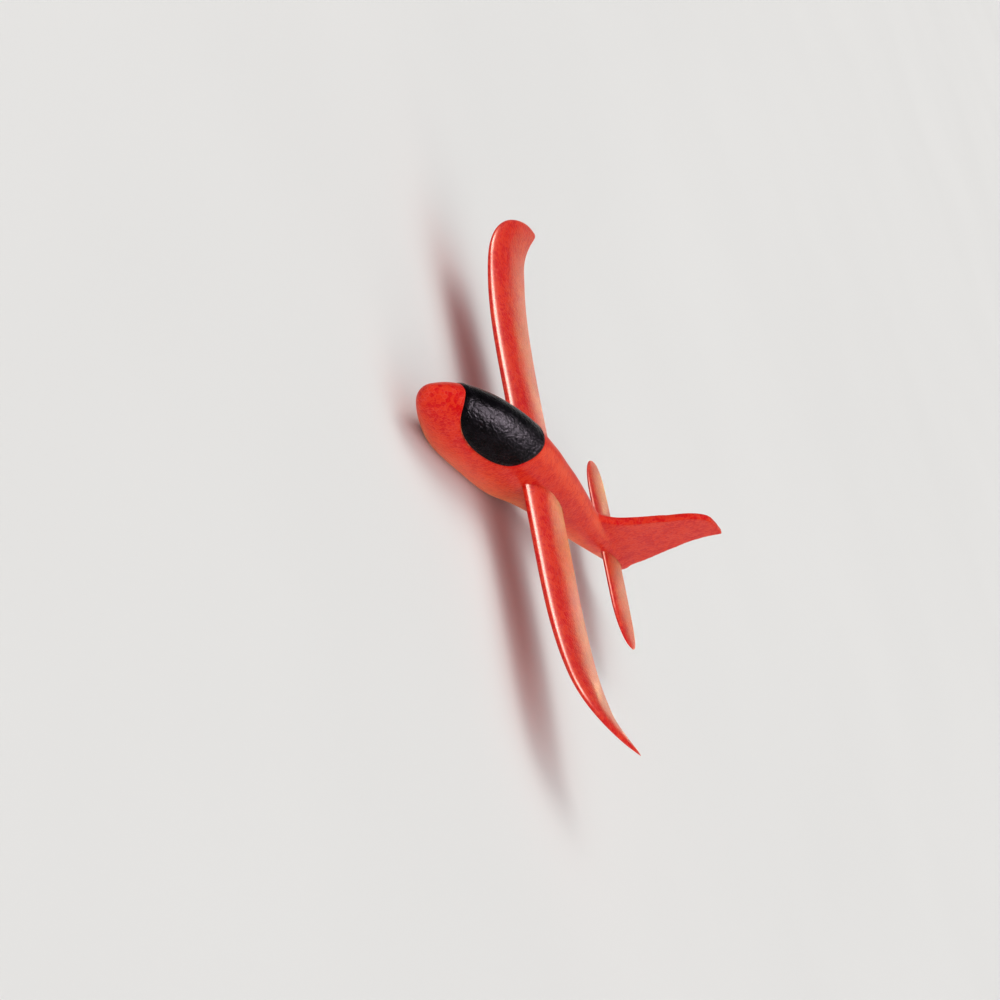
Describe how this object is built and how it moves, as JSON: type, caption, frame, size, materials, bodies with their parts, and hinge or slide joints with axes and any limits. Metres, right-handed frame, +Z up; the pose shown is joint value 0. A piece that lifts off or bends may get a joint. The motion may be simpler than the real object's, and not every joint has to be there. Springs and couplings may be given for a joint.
{
  "type": "hand-launched foam glider",
  "caption": "Toy throwing glider: moulded foam fuselage with fin, curved through-slot wing, small tailplane and a black canopy over the nose ballast.",
  "frame": {"origin": "on the surface the glider rests on, below the middle of its span and its length", "axes": "nose towards -Y, tail towards +Y, wing span along X (left wing +X), +Z up"},
  "size_m": [0.492, 0.416, 0.1301],
  "materials": {
    "foam_red": "satin",
    "canopy_black": "satin",
    "slug_steel": "satin",
    "plug_foam": "matte",
    "glass_fibre": "satin"
  },
  "bodies": {
    "airframe": {"fuselage": "foam_red", "nose_weight": "slug_steel", "weight_plug": "plug_foam"},
    "canopy": {"canopy": "canopy_black"},
    "wing": {"wing": "foam_red", "wing_spar": "glass_fibre"},
    "tailplane": {"tailplane": "foam_red"}
  },
  "joints": [
    {"name": "canopy_lift", "type": "slide", "parent": "airframe", "child": "canopy", "axis": [0, 0, 1], "range_m": [0, 0.05]},
    {"name": "wing_slide", "type": "slide", "parent": "airframe", "child": "wing", "axis": [1, 0, 0], "range_m": [-0.045, 0.045]},
    {"name": "tailplane_slide", "type": "slide", "parent": "airframe", "child": "tailplane", "axis": [1, 0, 0], "range_m": [-0.015, 0.015]}
  ]
}
